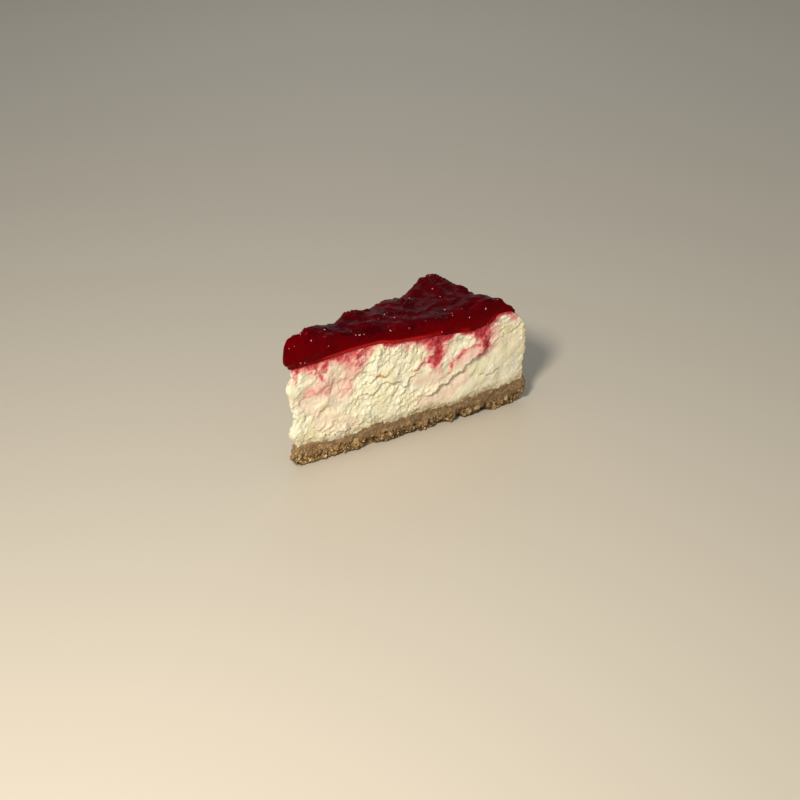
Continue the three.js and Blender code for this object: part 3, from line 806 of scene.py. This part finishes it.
def chip_height(place):
    heights = np.zeros(place.shape[:-1])
    for distance, angle, radius, height in CHIPS:
        centre = [distance * math.cos(angle), distance * math.sin(angle)]
        away = np.linalg.norm(place - centre, axis=-1)
        heights = np.maximum(heights, height * (1 - smooth(away, radius * CHIP_CORE, radius)))
    return heights


def make_base(material):
    radius = CAKE_RADIUS - BASE_RIM_INSET
    edge = Outline(radius, BASE_OUTSET, BASE_STEPS)
    foot = Outline(radius - FOOT_INSET, BASE_OUTSET - FOOT_INSET, BASE_STEPS, FOOT_CORNER)
    foot_place = foot.place - foot.out[:, :2] * (FOOT_UNDER_CHIP * chip_height(foot.place))[:, None]
    lowest = EDGE_LIFT + chip_height(edge.place)
    highest = boundary_at(BASE_TOP, edge.place[:, 0])
    rings = []
    for step in range(BASE_UNDER_STEPS):
        share = step / BASE_UNDER_STEPS
        place = mix(foot_place, edge.place - EDGE_INSET * edge.out[:, :2], share)
        rings.append(np.column_stack([place, lowest * share**1.5]))
    for step in range(BASE_WALL_STEPS + 1):
        share = step / BASE_WALL_STEPS
        inset = EDGE_INSET * (1 - smooth(share, 0, 0.12)) + BAND_INSET * smooth(share, 0.6, 1)
        rings.append(np.column_stack([edge.place - inset * edge.out[:, :2], mix(lowest, highest, share)]))
    grid = np.stack(rings)
    on_wall = (np.arange(len(rings)) >= BASE_UNDER_STEPS)[:, None]
    z = grid[..., 2]
    out = np.broadcast_to(edge.out, grid.shape)
    # A smeared band above, crumbs below
    band_edge = z + waves(grid, (1.1, 5, 111), (0.7, 1.8, 112))
    across_base = np.broadcast_to(edge.distance, z.shape)
    band = smooth(band_edge, 4.2, 8.2) * mix(0.5, 1, smooth(across_base, 8, 42))
    coarse = mix(CRUMB_RELIEF, SMEAR_RELIEF, smooth(z, SMEAR_FROM, SMEAR_FULL))
    grid = grid + out * (lumps(grid, coarse, LUMP_SIZE, SOLID_SEEDS["base"]) * on_wall)[..., None]
    ragged = shifted(grid, 1.6, 0.5, 125)
    large, tone = cobbles(ragged, LARGE_CRUMBS, 113)
    small, speck = cobbles(ragged, SMALL_CRUMBS, 117)
    crumbs = 0.2 * (large - 0.45) + 0.3 * (small - 0.35) * (1 + speck) + 0.9 * broken(grid, 2.4, 0.4, 127)
    streaks = 0.2 * noise(along_flow(grid, math.radians(5), 4), 1.3, 121) + 0.35 * broken(grid, 2.2, 0.5, 129)
    relief = mix(crumbs, streaks, band) * smooth(z, 0, 1.2)
    rim_top = smooth(highest - z, 0, 0.5)
    grid += grid_normals(grid) * (relief * mix(0.4, 1, rim_top))[..., None]
    grid[..., 2] = np.maximum(grid[..., 2], 0)
    # Painted shade in the gaps between crumbs, fading out on the smeared band
    pit_shade = (1 - smooth(0.6 * large + 0.4 * small, 0.1, 0.5)) * (1 - 0.8 * band)
    values = {
        "band": band, "pit_shade": pit_shade, "tone": 0.5 + 0.35 * tone + 0.25 * speck,
        # Painted light: paler and more golden towards the tip, darker towards the rim, as the key light falls
        # off
        "lit_towards_tip": 1 - smooth(across_base, 6, 60),
    }
    faces = ring_faces(*z.shape)
    make_piece("crumb_base", grid.reshape(-1, 3), faces, values, material, ["biscuit_base"])
    return grid, (band < 0.5) & on_wall & (z > 0.4)


# The crumbs

LOOSE_CRUMBS = 2200
STRAY_CRUMBS = 130
SMALLEST_CRUMB = 0.35
LARGER_CRUMBS = 1


def make_crumbs(base_grid, on_base, filling_grid, on_filling, material):
    """Loose crumbs stuck to the rough lower part of the base, and a few to the filling just above it"""
    random = np.random.default_rng(5)
    places = []
    normals = []
    for grid, where, count in ((base_grid, on_base, LOOSE_CRUMBS), (filling_grid, on_filling, STRAY_CRUMBS)):
        picked = random.choice(np.flatnonzero(where), count, replace=False)
        places.append(grid.reshape(-1, 3)[picked])
        normals.append(grid_normals(grid).reshape(-1, 3)[picked])
    sizes = SMALLEST_CRUMB + LARGER_CRUMBS * random.uniform(0, 1, LOOSE_CRUMBS + STRAY_CRUMBS) ** 5
    places = np.concatenate(places)
    # Painted light: crumbs near the tip get lighter tones, as the key light falls off towards the rim
    near_tip = 1 - smooth(np.hypot(places[:, 0], places[:, 1]), 10, 50)
    tones = np.clip(random.uniform(0, 1, len(sizes)) + 0.3 * near_tip, 0, 1)
    make_bits("crumbs", places, np.concatenate(normals), sizes, tones, random, material,
              squash=(1, 0.8, 0.7), sunk=0.15, smoothed=False)


# Materials


def srgb(text):
    """A linear colour from a hexadecimal one"""
    values = [int(text[i:i + 2], 16) / 255 for i in (1, 3, 5)]
    return [v / 12.92 if v <= 0.04045 else ((v + 0.055) / 1.055) ** 2.4 for v in values] + [1]


class Material:
    """A node material, with short ways to add its nodes"""

    def __init__(self, name, **settings):
        self.material = bpy.data.materials.new(name)
        self.material.use_nodes = True
        self.tree = self.material.node_tree
        self.shader = self.tree.nodes["Principled BSDF"]
        for key, value in settings.items():
            self.shader.inputs[key.replace("_", " ")].default_value = value
        self.coordinates = self.tree.nodes.new("ShaderNodeTexCoord").outputs["Object"]

    def put(self, socket, value):
        if isinstance(value, bpy.types.NodeSocket):
            self.tree.links.new(value, socket)
        else:
            socket.default_value = value

    def number(self, name):
        node = self.tree.nodes.new("ShaderNodeAttribute")
        node.attribute_name = name
        return node.outputs["Fac"]

    def grain(self, size, detail=3, rough=0.55):
        """Noise from 0 to 1 with bumps about as wide as size, in millimetres"""
        node = self.tree.nodes.new("ShaderNodeTexNoise")
        node.inputs["Scale"].default_value = 1 / (size * MM)
        node.inputs["Detail"].default_value = detail
        node.inputs["Roughness"].default_value = rough
        self.put(node.inputs["Vector"], self.coordinates)
        return node.outputs["Fac"]

    def between(self, value, low, high, start=0.0, end=1.0):
        node = self.tree.nodes.new("ShaderNodeMapRange")
        node.interpolation_type = "SMOOTHSTEP"
        keys = ("Value", "From Min", "From Max", "To Min", "To Max")
        for key, number in zip(keys, (value, low, high, start, end)):
            self.put(node.inputs[key], number)
        return node.outputs["Result"]

    def maths(self, operation, a, b):
        node = self.tree.nodes.new("ShaderNodeMath")
        node.operation = operation
        self.put(node.inputs[0], a)
        self.put(node.inputs[1], b)
        return node.outputs["Value"]

    def blend(self, share, a, b, kind="MIX"):
        node = self.tree.nodes.new("ShaderNodeMix")
        node.data_type = "RGBA"
        node.blend_type = kind
        self.put(node.inputs["Factor"], share)
        self.put(node.inputs["A"], a)
        self.put(node.inputs["B"], b)
        return node.outputs["Result"]

    def ramp(self, share, stops):
        node = self.tree.nodes.new("ShaderNodeValToRGB")
        elements = node.color_ramp.elements
        elements[0].position, elements[0].color = stops[0]
        elements[1].position, elements[1].color = stops[-1]
        for position, colour in stops[1:-1]:
            elements.new(position).color = colour
        self.put(node.inputs["Fac"], share)
        return node.outputs["Color"]

    def bump(self, height, depth, below=None):
        """Bump of a height from 0 to 1 that stands for depth in millimetres"""
        node = self.tree.nodes.new("ShaderNodeBump")
        node.inputs["Distance"].default_value = depth * MM
        self.put(node.inputs["Height"], height)
        if below:
            self.put(node.inputs["Normal"], below)
        return node.outputs["Normal"]

    def finish(self, colour, roughness, normal):
        self.put(self.shader.inputs["Base Color"], colour)
        self.put(self.shader.inputs["Roughness"], roughness)
        self.put(self.shader.inputs["Normal"], normal)
        return self.material


def cheese_material():
    m = Material(
        "cheese", Subsurface_Weight=0.35, Subsurface_Radius=(1.0, 0.7, 0.4), Subsurface_Scale=0.0009,
        Specular_IOR_Level=0.35,
    )
    cream = m.blend(m.between(m.grain(9), 0.35, 0.65), srgb("#f2eed6"), srgb("#f0e8c4"))
    cream = m.blend(m.between(m.grain(1.8), 0.45, 0.75, 0, 0.5), cream, srgb("#e8deb6"))
    # Painted shade darkens the cream under ledges, in torn patches and towards the rim end
    cream = m.blend(m.maths("MULTIPLY", m.number("crease_shade"), 0.8), cream, srgb("#a08a58"))
    stain = m.maths("MULTIPLY", m.number("stain"), m.between(m.grain(1, 4), 0.38, 0.62, 0.86, 1.08))
    red = m.ramp(stain, [
        (0, srgb("#f0e4c8")), (0.2, srgb("#f0d4c0")), (0.4, srgb("#e8aca0")), (0.6, srgb("#d6706e")),
        (0.8, srgb("#bc3c46")), (1, srgb("#9c1a26")),
    ])
    # The same painted shade over the stained curd
    red = m.blend(m.maths("MULTIPLY", m.number("crease_shade"), 0.5), red, srgb("#7c1a20"))
    colour = m.blend(m.between(stain, 0.02, 0.2), cream, red)
    toast = m.blend(m.between(m.grain(4), 0.4, 0.7), srgb("#e6cf95"), srgb("#cfa65c"))
    toasted = m.maths("MULTIPLY", m.number("toast"), m.between(m.grain(2.5), 0.3, 0.7, 0.35, 0.9))
    colour = m.blend(toasted, colour, toast)
    colour = m.blend(m.number("amber"), colour, srgb("#d89436"))
    smear = m.blend(m.between(m.grain(1.2), 0.35, 0.7), srgb("#b09a70"), srgb("#8f7850"))
    smeared = m.maths("MULTIPLY", m.number("smear"), m.between(m.grain(1.5), 0.35, 0.6, 0.35, 1))
    colour = m.blend(smeared, colour, smear)
    fine = m.bump(m.grain(0.55, 4, 0.6), 0.13)
    coarse = m.bump(m.grain(1.5, 2), 0.08, fine)
    return m.finish(colour, m.between(m.grain(1.4), 0.3, 0.7, 0.42, 0.62), coarse)


def compote_material():
    m = Material(
        "compote", Subsurface_Weight=0.1, Subsurface_Radius=(1.0, 0.03, 0.03), Subsurface_Scale=0.002,
        Specular_IOR_Level=0.035, Specular_Tint=(1, 0.2, 0.2, 1),
    )
    # Shaded and lit copies of the compote's red; the lit one is painted light on the sides and nose
    deep = m.blend(m.between(m.grain(6), 0.35, 0.65), srgb("#420409"), srgb("#4e050b"))
    bright = m.blend(m.between(m.grain(8), 0.35, 0.65), srgb("#580004"), srgb("#660006"))
    colour = m.blend(m.number("cut"), deep, bright)
    # Painted glow: brighter reds along the thin lower edge
    colour = m.blend(m.between(m.number("painted_glow"), 0.1, 0.6, 0, 0.45), colour, srgb("#92060d"))
    colour = m.blend(m.between(m.number("painted_glow"), 0.35, 1, 0, 0.75), colour, srgb("#c4221f"))
    # Painted shade in the low parts of the folds on top
    colour = m.blend(m.between(m.number("fold_valley_shade"), 0.1, 0.45, 0.55, 0), colour, srgb("#220106"))
    fine = m.bump(m.grain(0.9, 3), 0.1)
    return m.finish(colour, m.between(m.grain(1.6), 0.35, 0.7, 0.12, 0.26), fine)


def biscuit_material():
    m = Material("biscuit", Specular_IOR_Level=0.25)
    crumb = m.ramp(m.number("tone"), [(0, srgb("#6c5030")), (0.5, srgb("#a6865a")), (1, srgb("#d8bc8a"))])
    # Painted light: crumbs more golden towards the tip
    crumb = m.blend(m.maths("MULTIPLY", m.number("lit_towards_tip"), 0.6), crumb, srgb("#c89c60"))
    crumb = m.blend(m.between(m.grain(0.6, 4), 0.48, 0.62, 0, 0.75), crumb, srgb("#5c4120"))
    # Painted shade in the gaps between crumbs
    crumb = m.blend(m.maths("MULTIPLY", m.number("pit_shade"), 0.8), crumb, srgb("#38240e"))
    # Lit and shaded copies of the smeared band: painted light near the tip, painted shade towards the rim
    pale = m.blend(m.between(m.grain(2.5), 0.35, 0.7), srgb("#927860"), srgb("#a68c6c"))
    dark = m.blend(m.between(m.grain(2.5), 0.35, 0.7), srgb("#7e6446"), srgb("#917553"))
    band = m.blend(m.number("lit_towards_tip"), dark, pale)
    band = m.blend(m.between(m.grain(0.7, 4), 0.48, 0.68, 0, 0.65), band, srgb("#5c4428"))
    band = m.blend(m.between(m.grain(0.9, 3), 0.54, 0.68, 0, 0.6), band, srgb("#c4aa80"))
    colour = m.blend(m.number("band"), crumb, band)
    return m.finish(colour, m.between(m.grain(1), 0.3, 0.7, 0.7, 0.95), m.bump(m.grain(0.35, 4, 0.65), 0.25))


def seed_and_glint_material():
    m = Material("seed", Subsurface_Weight=0.2, Subsurface_Radius=(1.0, 0.5, 0.3), Subsurface_Scale=0.0004)
    # From dark red to near white: the palest tones are partly painted glints
    colour = m.ramp(m.number("tone"), [(0, srgb("#5a0c0e")), (0.6, srgb("#a85048")), (1, srgb("#f6dcd4"))])
    return m.finish(colour, m.between(m.grain(0.5), 0.3, 0.7, 0.12, 0.3), m.bump(m.grain(0.3, 2), 0.05))


def crumb_material():
    m = Material("crumb", Specular_IOR_Level=0.25)
    colour = m.ramp(m.number("tone"), [
        (0, srgb("#584022")), (0.35, srgb("#937248")), (0.75, srgb("#c0a26e")), (1, srgb("#e6ce9c")),
    ])
    colour = m.blend(m.between(m.grain(0.5, 4), 0.45, 0.7, 0, 0.6), colour, srgb("#5c4120"))
    return m.finish(colour, m.between(m.grain(1), 0.3, 0.7, 0.7, 0.95), m.bump(m.grain(0.3, 4, 0.65), 0.2))


filling_parts = make_filling(cheese_material())
topping_parts = make_topping(compote_material())
base_parts = make_base(biscuit_material())
make_seeds(*topping_parts, seed_and_glint_material())
make_crumbs(*base_parts, *filling_parts, crumb_material())

# Stage, light and camera

FLOOR_SIZE = 8
CAMERA_PLACE = Vector((-0.3172, -0.3905, 0.3168))
CAMERA_AIM = Vector((0.0130, 0.0144, 0))
CAMERA_ROLL = math.radians(0.45)
CAMERA_LENS = 58.5
LIGHT_AIM = Vector((0, 0, 0.03))
SKY_STRENGTH = 0.35


def make_floor():
    mesh = bpy.data.meshes.new("floor")
    half = FLOOR_SIZE / 2
    corners = [(-half, -half, 0), (half, -half, 0), (half, half, 0), (-half, half, 0)]
    mesh.from_pydata(corners, [], [(0, 1, 2, 3)])
    floor = bpy.data.objects.new("floor", mesh)
    bpy.context.scene.collection.objects.link(floor)
    paint = Material("floor_paint")
    mesh.materials.append(paint.finish(srgb("#cfc6b4"), 0.6, paint.bump(paint.grain(30), 0.05)))


def aim(thing, place, target, roll=0.0):
    """Stands a camera or light at place, looking at target, turned clockwise by roll"""
    forward = (target - place).normalized()
    right = forward.cross(Vector((0, 0, 1))).normalized()
    up = right.cross(forward)
    up, right = up * math.cos(roll) + right * math.sin(roll), right * math.cos(roll) - up * math.sin(roll)
    thing.matrix_world = Matrix.Translation(place) @ Matrix((right, up, -forward)).transposed().to_4x4()


def make_light(name, place, size, power, colour):
    data = bpy.data.lights.new(name, "AREA")
    data.shape = "DISK"
    data.size = size
    data.energy = power
    data.color = srgb(colour)[:3]
    light = bpy.data.objects.new(name, data)
    bpy.context.scene.collection.objects.link(light)
    aim(light, Vector(place), LIGHT_AIM)


def make_world():
    world = bpy.data.worlds.new("studio")
    world.use_nodes = True
    background = world.node_tree.nodes["Background"]
    background.inputs["Color"].default_value = srgb("#e6ebee")
    background.inputs["Strength"].default_value = SKY_STRENGTH
    bpy.context.scene.world = world


def make_camera():
    data = bpy.data.cameras.new("camera")
    data.lens = CAMERA_LENS
    camera = bpy.data.objects.new("camera", data)
    bpy.context.scene.collection.objects.link(camera)
    aim(camera, CAMERA_PLACE, CAMERA_AIM, CAMERA_ROLL)
    bpy.context.scene.camera = camera


make_floor()
make_world()
make_light("key", place=(-0.42, -0.26, 0.46), size=0.12, power=3.95, colour="#fff6ea")
make_light("window", place=(0.45, 0.6, 0.5), size=0.6, power=0.5, colour="#f2f2ff")
make_camera()
bpy.context.scene.view_settings.view_transform = "Standard"
